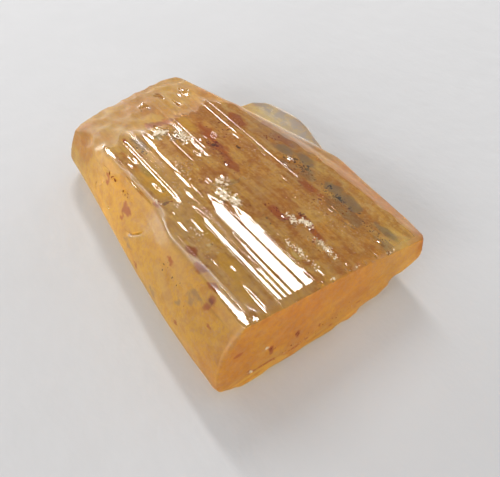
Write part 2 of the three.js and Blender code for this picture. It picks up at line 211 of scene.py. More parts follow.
CRUSHED = [  # spots crushed into many such faces: x, y, half length, half width, how many
    (-9.2, 5.2, 0.35, 0.2, 5),
    (-8.3, 5.5, 0.3, 0.3, 7),
    (-7.5, 5.0, 0.6, 0.35, 16),
    (-6.6, 5.1, 0.4, 0.2, 8),
    (-4.6, 6.35, 0.2, 0.15, 4),
    (-3.8, 6.85, 0.4, 0.2, 9),
    (-3.3, 7.1, 0.25, 0.2, 6),
    (-1.9, 6.65, 0.7, 0.25, 12),
    (-1.6, 5.5, 1.0, 0.2, 10),
    (-13.7, 4.9, 0.3, 0.3, 6),
    (-13.0, 5.4, 0.4, 0.3, 9),
    (-12.3, 5.9, 0.35, 0.2, 6),
    (-10.9, 5.7, 0.3, 0.15, 3),
    (-16.7, 8.3, 0.3, 0.4, 7),
    (-17.2, 7.0, 0.3, 0.3, 4),
    (-16.1, 5.4, 0.3, 0.3, 6),
    (-15.8, 7.3, 0.3, 0.2, 3),
    (-4.5, 8.3, 4.0, 1.5, 22),
    (-9.5, 7.6, 2.5, 1.5, 12),
    (-0.6, 7.4, 0.4, 2.4, 14),
    (-9.5, 2.8, 3.0, 0.8, 7),
    (-4.8, 2.5, 2.0, 0.6, 5),
    (-2.6, 5.8, 1.6, 0.4, 9),
]
CRUSHED_WIDTH = (0.06, 0.14)  # least and greatest half width of such a face
CRUSHED_LENGTH = 1.8  # and its length in parts of that
draw = np.random.default_rng(3)
least, greatest = (-1, -1, CRUSHED_WIDTH[0]), (1, 1, CRUSHED_WIDTH[1])
for place_x, place_y, long, wide, how_many in CRUSHED:
    for step_x, step_y, size in draw.uniform(least, greatest, (how_many, 3)):
        GLINTS.append(
            (place_x + step_x * long, place_y + step_y * wide, CRUSHED_LENGTH * size, size)
        )

steps = np.arange(40.0)
narrowest, widest = NARROW_TREADS
widths = narrowest + (widest - narrowest) * scattered(steps, steps * 0, 43) ** 2
tread_starts = np.concatenate([TREADS[:-1], TREADS[-1] + np.cumsum(widths) - widths])


def flight(starts, tilts, bend, riser):
    """Height of the treads that begin at starts, each at its tilt, which changes by bend per mm."""
    k = np.clip(np.searchsorted(starts, y, side="right") - 1, 0, len(starts) - 2)
    tops = np.interp(starts, FACE_Y, FACE_Z)
    long_run = starts[k + 1] - starts[k] - riser
    run = np.clip(y - starts[k], 0, long_run)
    lean = tilts[k] + TREAD_WOBBLE * (facets(x / WOBBLE_LENGTH, k, 47) - 0.5)
    down = np.clip((y - starts[k] - long_run) / riser, 0, 1)
    return (tops[k] - lean * run - bend * run**2 / 2) * (1 - down) + tops[k + 1] * down


relief = flight(tread_starts, np.interp(tread_starts, TREAD_Y, TREAD_TILT), 0, RISER) - general
for from_y, to_y, end_x, height in LAYERS:
    ragged_end = end_x + LAYER_RAGGED * (facets(y / 0.5, x * 0, 46) - 0.5)
    inside = ramp(y, from_y, from_y + 0.05) * ramp(-y, -to_y, 0.3 - to_y)
    relief -= height * inside * ramp(ragged_end - x, 0, 0.9)
relief *= ramp(y - shoulder_y, 0.1, 0.9) * ramp(-x, 0.0, 0.5)

strands = np.array(BAND)
strand = np.clip(np.searchsorted(strands, y, side="right") - 1, 0, len(BAND) - 2)
off_middle = np.abs((y - strands[strand]) / (strands[strand + 1] - strands[strand]) - 0.5)
far_end = np.array(BAND_END)[strand] + BAND_CURL * off_middle**2
in_band = ramp(y, BAND[0], BAND[0] + 0.03) * ramp(-y, -BAND[-1], 0.03 - BAND[-1])
level = on_top * in_band * ramp(x - far_end, -0.3, 0.3) * ramp(-x, -0.1, 0.05)
shining = SHINING_TILT[0] + SHINING_TILT[1] * strands
band_z = flight(strands, shining, SHINING_TILT[1], BAND_RISER) - BAND_DROP
relief += (band_z - general - relief) * level

# Splintered spots in the striated face, where it is broken into small bright facets.
SPLINTERED = [  # x, y, half length, half width
    (-7.3, 5.2, 1.1, 0.45),
    (-6.3, 4.9, 0.6, 0.3),
    (-4.3, 6.6, 0.7, 0.35),
    (-3.5, 7.1, 0.7, 0.3),
    (-1.7, 6.7, 1.0, 0.35),
    (-13.4, 5.0, 1.1, 0.5),
    (-12.3, 5.9, 0.6, 0.3),
    (-8.4, 5.2, 0.6, 0.6),
]
SPLINTER_RISE = 0.03
ragged = 0.9 * (lumps(x / 0.4, y / 0.22, 51) - 0.5)
splintered = patches(SPLINTERED, x, y, ragged) * striated
splinters = facets(x / 0.3, y / 0.18, 52) - 0.5

# The flank is evened out towards the smooth curved surface that fits it best.
CALM = 0.95  # how far it moves there, from 0 to 1
CURVE_DEGREE = 3
powers = [(i, j) for i in range(CURVE_DEGREE + 1) for j in range(CURVE_DEGREE + 1)]
curve = np.stack([(x / 10) ** i * (z / 4) ** j for i, j in powers], axis=1)
of_flank = (flank > 0.5) & (z > 0.4) & (y < 2)
fit = np.linalg.lstsq(curve[of_flank], y[of_flank], rcond=None)[0]
calmed = CALM * flank * ramp(z, 0.4, 0.9) * ramp(-z, -3.7, -3.2) * ramp(-y, -2.0, -1.5)
points[:, 1] += calmed * (curve @ fit - y)

# The shoulder is worn round between the flank, carried on upwards, and the striated face.
ROUNDING = 8.0  # the greater, the sharper the shoulder
CREASE = 0.03  # and how much of its top is cut off flat
SHOULDER_Z, FLANK_SLOPE = 4.19, 1.3
FRONT_WEAR = 0.1  # how far the face rounds down to the cleavage
CHIP_SHOWS, DEEPEST_CHIP = 0.25, 0.3  # hollows of the solid deeper than the first are kept
slope_up = SHOULDER_Z + FLANK_SLOPE * (y - shoulder_y)
worn_off = np.exp(-ROUNDING * (general + CREASE)) + np.exp(-ROUNDING * slope_up)
rounded = np.minimum(-np.log(worn_off) / ROUNDING, general)
rounded -= FRONT_WEAR * (1 - ramp(-x, -0.1, 0.5)) ** 2
plain = rounded - np.clip(rounded - z - CHIP_SHOWS, 0, DEEPEST_CHIP)
smooth_top = z + (plain - z) * inner

# The treads, the splinters and the small bright faces are set on it.
FINE_LINES = 0.001  # height of the finest striations
fine = facets(y / 0.13, x / 2.1, 11) - 0.5
new_z = smooth_top + relief + FINE_LINES * fine * (1 - level) + splintered * SPLINTER_RISE * splinters
new_z = z + striated * (new_z - z)
smooth_top = z + striated * (smooth_top - z)
silk = 1 - level
for place_x, place_y, long, wide in GLINTS:
    distance = np.hypot((x - place_x) / long, (y - place_y) / wide)
    near = (distance < 0.7) & (on_top > 0.5)
    if near.any():
        lean = SHINING_TILT[0] + SHINING_TILT[1] * place_y
        small_face = smooth_top[near].mean() - lean * (y - place_y)
        new_z += (small_face - new_z) * ramp(-distance, *GLINT_EDGE) * on_top
        silk *= 1 - ramp(-distance, *GLINT_EDGE) * on_top
points[:, 2] = new_z

# The break is etched, the flank faintly wavy, and the cleavage splintered in layers at its foot.
ETCHING, FINE_ETCHING, WAVES, LAYER_DEPTH, SET_BACK = 0.005, 0.004, 0.015, 0.06, 0.015
etch = lumps(x / 0.9, y / 0.5, 21) - 0.5
etch_fine = facets(x / 0.33, y / 0.17, 22) - 0.5
waves = lumps(x / 1.1, z / 0.6, 31) - 0.5
layered = facets((z - 0.12 * y) / 0.17, y / 1.3, 33) - 0.5
low_front = ramp(-z, -1.1, -0.5) * ramp(x, -0.6, -0.1)
rise = broken * silk * (ETCHING * etch + FINE_ETCHING * etch_fine) + flank * WAVES * waves
rise += low_front * LAYER_DEPTH * (layered - 0.5) - SET_BACK * cleavage
points += normals * rise[:, None]
points[:, 0] = np.minimum(points[:, 0], 0)
points[:, 2] = np.maximum(points[:, 2], 0)
points = crystal_origin + points * MM
crystal_mesh.vertices.foreach_set("co", points.astype(np.float32).ravel())
crystal_mesh.shade_smooth()

# How frosted, rusty, smoky, amber and so on each point of the skin is, from 0 to 1.
RUSTY = [  # stains of iron in the cracks
    (-13.7, 3.0, 0.35, 0.16),
    (-14.2, 5.4, 0.3, 1.0),
    (-8.4, 1.9, 0.3, 0.2),
    (-3.7, 1.4, 0.5, 0.25),
    (-2.5, 1.3, 0.5, 0.2),
    (-4.8, 1.6, 0.5, 0.2),
    (-3.9, 7.15, 0.5, 0.22),
    (-4.9, 6.3, 0.7, 0.25),
    (-2.6, 7.0, 0.6, 0.2),
    (-12.2, 7.2, 1.0, 0.35),
    (-10.6, 6.9, 1.2, 0.4),
    (-9.0, 6.6, 0.8, 0.3),
    (-11.4, 10.6, 0.5, 0.2),
    (-9.8, 10.5, 1.0, 0.35),
    (-12.6, 9.4, 0.9, 0.4),
    (-5.6, 9.0, 0.9, 0.25),
]
FRONT_RUSTY = [  # the same on the cleavage: y, z, half length, half height
    (2.45, 1.6, 0.14, 0.25),
    (3.9, 1.65, 0.12, 0.35),
    (4.5, 0.8, 0.14, 0.1),
    (5.9, 0.65, 0.14, 0.1),
    (1.2, 1.0, 0.15, 0.1),
    (2.0, 0.75, 0.6, 0.08),
    (3.6, 0.6, 0.5, 0.07),
    (5.2, 1.2, 0.07, 0.2),
    (7.6, 1.2, 0.25, 0.07),
    (0.7, 2.6, 0.3, 0.12),
]
FLANK_RUSTY = [  # and on the flank: x, z, half length, half height
    (-2.1, 3.9, 0.2, 0.25),
    (-3.4, 2.0, 0.15, 0.1),
    (-1.5, 3.3, 0.2, 0.1),
    (-7.6, 1.75, 0.2, 0.2),
    (-9.6, 3.3, 0.3, 0.2),
    (-12.2, 3.4, 0.25, 0.4),
    (-10.0, 3.1, 0.2, 0.5),
    (-5.2, 3.8, 0.3, 0.2),
]
FLANK_SMOKY = [  # grey patches on the flank, given in the same way
    (-3.1, 3.6, 0.6, 0.4),
    (-3.7, 2.8, 0.2, 0.2),
    (-5.6, 1.8, 0.3, 0.25),
    (-8.9, 2.2, 0.5, 0.3),
]
# Painted shade: the grey patches below stand for the dark table seen through the crystal, painted into
# its skin.
PAINTED_SHADE_PATCHES = [  # clear grey patches under the striated face: x, y, half length, half width
    (-9.0, 10.0, 0.8, 0.45),
    (-7.6, 10.4, 0.7, 0.4),
    (-5.0, 10.0, 0.9, 0.4),
    (-3.6, 10.0, 1.0, 0.45),
    (-1.2, 10.0, 0.9, 0.3),
    (-13.0, 3.5, 0.8, 0.35),
]
AMBER = [  # and clear yellow ones
    (-2.9, 2.5, 1.3, 0.5),
    (-1.6, 2.1, 1.0, 0.4),
    (-9.8, 2.6, 1.6, 0.6),
    (-5.6, 3.0, 1.4, 0.5),
    (-13.4, 6.6, 1.0, 0.4),
    (-14.7, 5.3, 0.7, 0.6),
]

# The striated face is clear and glossy up to ragged edges, and silky in clouds. The rest is
# frosted.
worn = 0.5 * (lumps(x / 0.7, y / 0.3, 61) - 0.5)
frosted_to = shoulder_y + 0.5 * ramp(x, -6.0, -2.0)
clear = striated * ramp(y + 0.6 * worn - frosted_to, 0.05, 0.45) * ramp(rim_y - y - 0.5 * worn, -0.1, 0.4)
clear *= ramp(x, ragged_break - 0.2, ragged_break + 0.3) * ramp(-x + 0.5 * worn, 0.05, 0.5)
clear *= ramp(z - general, -0.4, -0.2)
clear = np.maximum(clear, 1 - silk)
milk = 0.6 * lumps(x / 2.4, y / 0.9, 62) + 0.4 * lumps(x / 1.1, y / 0.4, 63) - 0.3 * ramp(y, 5.5, 7.0)
milk = ramp(milk, 0.3, 0.7)

# The patches, with what breaks up their outlines on each side of the crystal.
rusty = patches(RUSTY, x, y, ragged) * ramp(z, 2.4, 3.0) * (1 - cleavage)
front_ragged = 1.3 * (lumps(y / 0.35, z / 0.18, 64) - 0.5)
rusty = np.maximum(rusty, patches(FRONT_RUSTY, y, z, front_ragged) * cleavage)
flank_ragged = 1.3 * (lumps(x / 0.3, z / 0.15, 65) - 0.5)
rusty = np.maximum(rusty, patches(FLANK_RUSTY, x, z, flank_ragged) * ramp(1.6 - y, 0.0, 0.4))
# The grey on the top is painted shade of the dark table seen through; the grey on the flank is mottling
# of the skin.
painted_shade_and_grey = patches(PAINTED_SHADE_PATCHES, x, y, 0.6 * ragged)
painted_shade_and_grey = np.maximum(painted_shade_and_grey, 0.7 * patches(FLANK_SMOKY, x, z, flank_ragged) * ramp(1.6 - y, 0.0, 0.4))
amber = patches(AMBER, x, y, 0.4 * ragged) * on_top
amber = np.maximum(amber, low_front * ramp(layered, 0.0, 0.15))

# The break and the thin edge are rough. Orange gathers there, at the thin side and at the foot.
# The thin plate at the back, and a haze that reaches over the top from it, are painted grey:
# painted shade of the dark table seen through them.
thin_edge = ramp(y - rim_y, -0.6, 0.0) * ramp(z, 2.0, 2.4)
rim = np.maximum(broken, thin_edge)
orange = np.maximum(rim, ramp(y, 5.0, 7.0) * on_top)
orange = np.maximum(orange, cleavage * ramp(-y, -13.0, -4.0))
orange = np.maximum(orange, ramp(x + y - z, -5.5, -1.5) * ramp(-y, -1.6, -0.6))
ledge = ramp(y, 12.0, 12.6) * ramp(-z, -2.3, -2.0)
# Painted shade that spreads from the thin plate over the top.
shade_over_top = 0.75 * ramp(np.hypot((x + 11.2) / 3.0, (y - 11.4) / 1.6) + 0.7 * ragged, 1.2, 0.3)
ledge = np.maximum(ledge, shade_over_top)

# Brown and cream run in streaks along the crystal, as it grew. On the left of the top, brown is
# cut back and cream raised: a painted glow for the light that comes up through that part.
u, v, lengthwise = x + 1.3 * z, y - z + general, 1 - cleavage
brown = 0.42 * lumps(u / 2.2, v / 0.8, 71) + 0.3 * lumps(u / 0.9, v / 0.35, 72)
brown += lengthwise * (0.16 * facets(v / 0.11, u / 1.4, 73) + 0.12 * facets(u / 0.5, v / 0.14, 74))
brown += 0.2 * cleavage + 0.1 * broken + 0.12 * ramp(y, 8.0, 10.0) * on_top + 0.1 * thin_edge
brown = ramp(brown, 0.47, 0.66) * (1 - 0.6 * flank)
# Painted light: less brown and more cream on the left of the top, standing in for the glow there.
painted_glow_left_top = on_top * ramp(-y, -4.2, -3.0)
brown = np.maximum(brown * (1 - 0.6 * painted_glow_left_top), low_front * ramp(-layered, 0.0, 0.2))
cream = 0.4 * lumps(u / 1.8, v / 0.6, 75) + 0.3 * lumps(u / 0.8, v / 0.3, 76)
cream += 0.3 * lengthwise * facets(v / 0.12, u / 1.1, 77)
skin_layers = {
    "frosting": 1 - clear,
    "silk": silk,
    "milk": milk,
    "rim": rim,
    "orange": orange,
    "brown": brown,
    # the cream layer holds the painted glow of the left of the top as well as the cream streaks
    "cream": ramp(cream + 0.15 * painted_glow_left_top, 0.52, 0.7),
    "edge": thin_edge * (0.45 + 0.55 * lumps(x / 1.5, y / 0.5, 78)),
    "amber": amber,
    "grey_and_painted_shade": painted_shade_and_grey,
    "rust": rusty,
    "ledge": ledge,
}
for name, amount in skin_layers.items():
    layer = crystal_mesh.attributes.new(name, "FLOAT", "POINT")
    layer.data.foreach_set("value", np.clip(amount, 0, 1).astype(np.float32))

crystal = bpy.data.objects.new("crystal_body", crystal_mesh)
bpy.context.scene.collection.objects.link(crystal)


def node(tree, kind, values=None, **links_in):
    """Adds a node, sets the inputs in values and links the sockets given by name."""
    made = tree.nodes.new("ShaderNode" + kind)
    for socket, value in (values or {}).items():
        made.inputs[socket].default_value = value
    for socket, source in links_in.items():
        tree.links.new(source, made.inputs[socket.replace("_", " ")])
    return made


def blend(tree, factor, one, other):
    """Adds a colour mix; factor, one and other are each a socket or a plain value."""
    made = tree.nodes.new("ShaderNodeMix")
    made.data_type = "RGBA"
    for index, source in ((0, factor), (6, one), (7, other)):
        if isinstance(source, bpy.types.NodeSocket):
            tree.links.new(source, made.inputs[index])
        elif index == 0:
            made.inputs[index].default_value = source
        else:
            made.inputs[index].default_value = (*source, 1)
    return made.outputs[2]


def sums(tree, operation, one, other):
    """Adds a Math node; one and other are each a socket or a number."""
    made = tree.nodes.new("ShaderNodeMath")
    made.operation = operation
    for index, source in enumerate((one, other)):
        if isinstance(source, bpy.types.NodeSocket):
            tree.links.new(source, made.inputs[index])
        else:
            made.inputs[index].default_value = source
    return made.outputs[0]


def grain_group():
    """Builds the group that gives streaks along the crystal, clouds, and a fine even grain."""
    group = bpy.data.node_groups.new("mineral_grain", "ShaderNodeTree")
    group.interface.new_socket("Cells per mm", in_out="INPUT", socket_type="NodeSocketFloat")
    group.interface.new_socket("Length", in_out="INPUT", socket_type="NodeSocketFloat")
    for name in ("Streaks", "Clouds", "Grain"):
        group.interface.new_socket(name, in_out="OUTPUT", socket_type="NodeSocketFloat")
    asked = group.nodes.new("NodeGroupInput")
    given = group.nodes.new("NodeGroupOutput")
    place = group.nodes.new("ShaderNodeTexCoord").outputs["Object"]
    per_metre = sums(group, "MULTIPLY", asked.outputs["Cells per mm"], 1 / MM)
    shorter = sums(group, "DIVIDE", 1.0, asked.outputs["Length"])
    squeeze = node(group, "CombineXYZ", {"Y": 1, "Z": 1}, X=shorter).outputs["Vector"]
    along = group.nodes.new("ShaderNodeVectorMath")
    along.operation = "MULTIPLY"
    group.links.new(place, along.inputs[0])
    group.links.new(squeeze, along.inputs[1])
    coarse = sums(group, "MULTIPLY", per_metre, 0.16)
    for name, detail, roughness, where, scale in (
        ("Streaks", 3, 0.6, along.outputs[0], per_metre),
        ("Clouds", 4, 0.55, place, coarse),
        ("Grain", 2, 0.6, place, per_metre),
    ):
        values = {"Detail": detail, "Roughness": roughness}
        noise = node(group, "TexNoise", values, Vector=where, Scale=scale)
        group.links.new(noise.outputs["Fac"], given.inputs[name])
    return group


mineral_grain = grain_group()


def grain(tree, per_mm, length):
    """Places the grain group in a material."""
    made = tree.nodes.new("ShaderNodeGroup")
    made.node_tree = mineral_grain
    made.inputs["Cells per mm"].default_value = per_mm
    made.inputs["Length"].default_value = length
    return made.outputs


def spread(tree, source, from_low, from_high, to_low=0.0, to_high=1.0):
    """Maps a value from one range to another, held at its ends."""
    values = {"From Min": from_low, "From Max": from_high, "To Min": to_low, "To Max": to_high}
    return node(tree, "MapRange", values, Value=source).outputs["Result"]


def new_material(name):
    made = bpy.data.materials.new(name)
    made.use_nodes = True
    return made, made.node_tree, made.node_tree.nodes["Principled BSDF"]


def painted(tree, name):
    """The amount that the mesh holds at each point under that name."""
    made = tree.nodes.new("ShaderNodeAttribute")
    made.attribute_name = name
    return made.outputs["Fac"]


def mixed(tree, factor, one, other):
    """Adds a mix of two values."""
    made = tree.nodes.new("ShaderNodeMix")
    for index, source in ((0, factor), (2, one), (3, other)):
        tree.links.new(source, made.inputs[index])
    return made.outputs[0]


HONEY, PALE_HONEY, BROWN_HONEY = (1.0, 0.74, 0.07), (1.0, 0.86, 0.28), (0.5, 0.18, 0.03)
RUST, GREY_AND_PAINTED_SHADE, AMBER_TINT = (0.4, 0.06, 0.01), (0.26, 0.26, 0.24), (1.0, 0.76, 0.12)
ORANGE, CREAM, LEDGE_PAINTED_SHADE_GREY = (0.86, 0.4, 0.04), (1.0, 0.9, 0.48), (0.5, 0.44, 0.41)
EDGE_BROWN = (0.6, 0.22, 0.03)
CLEARNESS, TOPAZ_IOR, MIRRORING = 0.86, 1.62, 0.3
DEEP_HONEY, DEEPENING = (0.96, 0.72, 0.05, 1), 110  # the colour it turns with depth
CALMED_TINTS = 0.45  # how strong the tints stay where the skin is frosted
MATT, RIM_MATT = (0.42, 0.55), 0.2  # roughness of the frosted skin, and what the rim adds
GLOSS, SILKEN = (0.02, 0.06), (0.05, 0.1)  # and of the clear skin, bright and silky
topaz, tree, skin = new_material("topaz")
skin.inputs["Transmission Weight"].default_value = CLEARNESS
skin.inputs["IOR"].default_value = TOPAZ_IOR
skin.inputs["Specular IOR Level"].default_value = MIRRORING
fine_grain = grain(tree, 9.0, 14.0)
broad_grain = grain(tree, 3.0, 8.0)
frosting = painted(tree, "frosting")
sugar = grain(tree, 5.0, 2.5)
mottles = grain(tree, 1.6, 1.3)
streaks = [
    mixed(tree, frosting, grains["Streaks"], grains["Grain"])
    for grains in (broad_grain, sugar, fine_grain)
]
colour = blend(tree, frosting, PALE_HONEY, HONEY)
clouds = spread(tree, broad_grain["Clouds"], 0.3, 0.6)
orange_cloud = sums(tree, "MULTIPLY", painted(tree, "orange"), clouds)
colour = blend(tree, sums(tree, "MULTIPLY", orange_cloud, 0.8), colour, ORANGE)
calmer = spread(tree, frosting, 0, 1, 1.0, CALMED_TINTS)
for value, start, end, amount, tint in [
    (painted(tree, "brown"), 0, 1, 0.6, BROWN_HONEY),
    (mottles["Grain"], 0.5, 0.62, 0.6, BROWN_HONEY),
    (mottles["Streaks"], 0.52, 0.66, 0.4, CREAM),
    (streaks[0], 0.52, 0.64, 0.45, BROWN_HONEY),
    (streaks[1], 0.52, 0.6, 0.55, BROWN_HONEY),
    (streaks[2], 0.5, 0.6, 0.35, BROWN_HONEY),
    (sugar["Grain"], 0.54, 0.64, 0.4, CREAM),
    (sugar["Clouds"], 0.56, 0.62, 0.4, BROWN_HONEY),
    (painted(tree, "cream"), 0, 1, 0.5, CREAM),
]:
    share = sums(tree, "MULTIPLY", spread(tree, value, start, end, 0, amount), calmer)
    colour = blend(tree, share, colour, tint)
crumbled = sums(tree, "MULTIPLY", sums(tree, "SUBTRACT", broad_grain["Grain"], 0.5), 2.0)
for name, strength, tint in [
    ("edge", 0.8, EDGE_BROWN),
    ("amber", 0.8, AMBER_TINT),
    # the grey tint: painted shade on the top, grey mottling on the flank
    ("grey_and_painted_shade", 0.85, GREY_AND_PAINTED_SHADE),
    ("rust", 0.85, RUST),
]:
    patchy = spread(tree, sums(tree, "ADD", painted(tree, name), crumbled), 0.2, 0.7, 0, strength)
    colour = blend(tree, sums(tree, "MULTIPLY", patchy, painted(tree, name)), colour, tint)
mottled = spread(tree, mottles["Grain"], 0.42, 0.58, 0.5, 1.0)
# Painted shade: the grey of the dark table seen through the thin plate, mottled.
colour = blend(tree, sums(tree, "MULTIPLY", painted(tree, "ledge"), mottled), colour, LEDGE_PAINTED_SHADE_GREY)
tree.links.new(colour, skin.inputs["Base Color"])
matt = spread(tree, fine_grain["Clouds"], 0.3, 0.7, *MATT)
matt = sums(tree, "ADD", matt, sums(tree, "MULTIPLY", painted(tree, "rim"), RIM_MATT))
gloss = spread(tree, fine_grain["Streaks"], 0.3, 0.7, *GLOSS)
silken = spread(tree, painted(tree, "milk"), 0, 1, *SILKEN)
polished = mixed(tree, painted(tree, "silk"), gloss, silken)
tree.links.new(mixed(tree, frosting, polished, matt), skin.inputs["Roughness"])
frost_grain = sums(tree, "MULTIPLY", fine_grain["Grain"], frosting)
skin_height = sums(tree, "ADD", fine_grain["Streaks"], frost_grain)
bump = node(tree, "Bump", {"Strength": 0.35, "Distance": 0.006 * MM}, Height=skin_height)
tree.links.new(bump.outputs["Normal"], skin.inputs["Normal"])
inside = node(tree, "VolumeAbsorption", {"Color": DEEP_HONEY, "Density": DEEPENING})
tree.links.new(inside.outputs["Volume"], tree.nodes["Material Output"].inputs["Volume"])
crystal_mesh.materials.clear()
crystal_mesh.materials.append(topaz)
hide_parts("topaz_crystal")
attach(crystal, "root")

# ------------------------------------------------------------------ healed cracks
# Cracks that closed again while the crystal grew. What is left of each is a swarm of thin films.
# They lie inside, just under the striated face. Their pale silvery colour is partly a painted
# reflection: it stands in for the light that such films mirror where they turn to it.
FILM_RIM = 7  # corners of a film
CLEAVED = -0.001  # where the cleavage cuts every film off


def under_face(x, y, depth):
    """The place at a depth below the striated face."""
    return (x, y, np.interp(y, FACE_Y, FACE_Z) - depth)


def strewn_films(name, swarms, seed, thin, above=-0.14):
    """Thin ragged films: place, half sizes of the swarm, how many, film size, facing, slant."""
    draw = np.random.default_rng(seed)
    verts, faces = [], []
    for place, half, how_many, size, facing, slant in swarms:
        centre = np.array(place) + np.clip(draw.normal(0, 0.5, (how_many, 3)), -1, 1) * half
        out = np.array(facing) + draw.normal(0, slant, (how_many, 3))
        out /= np.linalg.norm(out, axis=1)[:, None]
        side = np.cross(out, draw.normal(0, 1, (how_many, 3)))
        side /= np.linalg.norm(side, axis=1)[:, None]
        up = np.cross(out, side)
        turn = (np.arange(FILM_RIM) + draw.uniform(-0.3, 0.3, (how_many, FILM_RIM))) / FILM_RIM * math.tau
        reach = size * draw.lognormal(0, 0.45, (how_many, 1)) * draw.uniform(0.45, 1, turn.shape)
        lengthwise = (reach * np.cos(turn))[:, :, None] * side[:, None]
        crosswise = 0.6 * (reach * np.sin(turn))[:, :, None] * up[:, None]
        rim = centre[:, None] + lengthwise + crosswise
        ridge = out * (thin * reach.mean(axis=1))[:, None]
        corners = np.concatenate([rim, (centre + ridge)[:, None], (centre - ridge)[:, None]], axis=1)
        roof = np.interp(corners[..., 1], FACE_Y, FACE_Z) + above
        corners[..., 2] = np.minimum(corners[..., 2], roof)
        corners[..., 0] = np.minimum(corners[..., 0], CLEAVED)
        for film in corners:
            first = len(verts)
            verts.extend((crystal_origin + film * MM).tolist())
            for i in range(FILM_RIM):
                here, there = first + i, first + (i + 1) % FILM_RIM
                faces.append((here, there, first + FILM_RIM))
                faces.append((there, here, first + FILM_RIM + 1))
    mesh = bpy.data.meshes.new(name)
    mesh.from_pydata(verts, [], faces)
    made = bpy.data.objects.new(name, mesh)
    bpy.context.scene.collection.objects.link(made)
    return made


def film_material(name, per_mm, length, tints, rougher_by, roughness, bump_strength, bump_height):
    """A mottled, grainy material for films, its roughness following one output of the grain."""
    made, tree, film = new_material(name)
    speckle = grain(tree, per_mm, length)
    tree.links.new(blend(tree, speckle["Grain"], *tints), film.inputs["Base Color"])
    rough = spread(tree, speckle[rougher_by], 0.3, 0.7, *roughness)
    tree.links.new(rough, film.inputs["Roughness"])
    raised = {"Strength": bump_strength, "Distance": bump_height * MM}
    bump = node(tree, "Bump", raised, Height=speckle["Grain"])
    tree.links.new(bump.outputs["Normal"], film.inputs["Normal"])
    return made


ACROSS, LEVEL, ANY = (1, 0, 0), (0, 0, 1), (0.6, 0.1, 0.8)  # ways that films face
# Pale film colours, partly painted reflection.
SILVERY_PAINTED_REFLECTION = ((0.95, 0.8, 0.58), (0.98, 0.94, 0.86))
HEALED = [  # middle of the swarm, its half sizes, how many films, their size, facing, slant
    (under_face(-7.9, 5.8, 0.25), (0.12, 0.75, 0.08), 70, 0.13, ACROSS, 0.6),
    (under_face(-7.5, 5.0, 0.22), (0.6, 0.4, 0.08), 90, 0.12, ANY, 0.8),
    (under_face(-6.6, 5.1, 0.2), (0.4, 0.25, 0.05), 50, 0.15, LEVEL, 0.5),
    (under_face(-4.2, 6.6, 0.22), (0.5, 0.25, 0.06), 70, 0.12, ANY, 0.7),
    (under_face(-3.5, 7.1, 0.22), (0.4, 0.22, 0.06), 60, 0.14, ANY, 0.7),
    (under_face(-1.9, 6.7, 0.22), (0.9, 0.3, 0.08), 110, 0.1, ANY, 0.8),
    (under_face(-2.2, 5.5, 0.2), (1.2, 0.25, 0.06), 90, 0.08, ANY, 0.8),
    (under_face(-13.4, 4.9, 0.22), (0.4, 0.45, 0.08), 80, 0.14, ANY, 0.7),
    (under_face(-12.6, 5.6, 0.22), (0.6, 0.45, 0.08), 110, 0.12, ANY, 0.7),
    (under_face(-10.0, 4.5, 0.25), (1.2, 0.6, 0.1), 70, 0.07, ANY, 0.8),
    (under_face(-9.2, 3.0, 0.4), (1.8, 0.8, 0.2), 130, 0.07, ANY, 0.9),
    (under_face(-11.0, 5.9, 0.4), (1.4, 0.5, 0.2), 90, 0.06, ANY, 0.9),
    (under_face(-5.5, 2.6, 0.4), (1.6, 0.5, 0.2), 60, 0.06, ANY, 0.9),
    (under_face(-4.0, 8.6, 0.4), (3.0, 1.0, 0.2), 150, 0.05, ANY, 0.9),
    (under_face(-9.0, 8.2, 0.4), (2.0, 0.9, 0.2), 110, 0.05, ANY, 0.9),
    ((-0.3, 3.2, 1.7), (0.12, 1.6, 0.5), 40, 0.07, ANY, 0.8),
    ((-0.3, 1.4, 0.9), (0.1, 0.3, 0.15), 12, 0.1, ANY, 0.8),
]
healed_cracks = strewn_films("healed_cracks", HEALED, 5, 0.05)
silvery = film_material("film_with_painted_reflection", 14.0, 2.0, SILVERY_PAINTED_REFLECTION, "Streaks", (0.25, 0.5), 0.4, 0.01)
healed_cracks.data.materials.append(silvery)
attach(healed_cracks, "root")
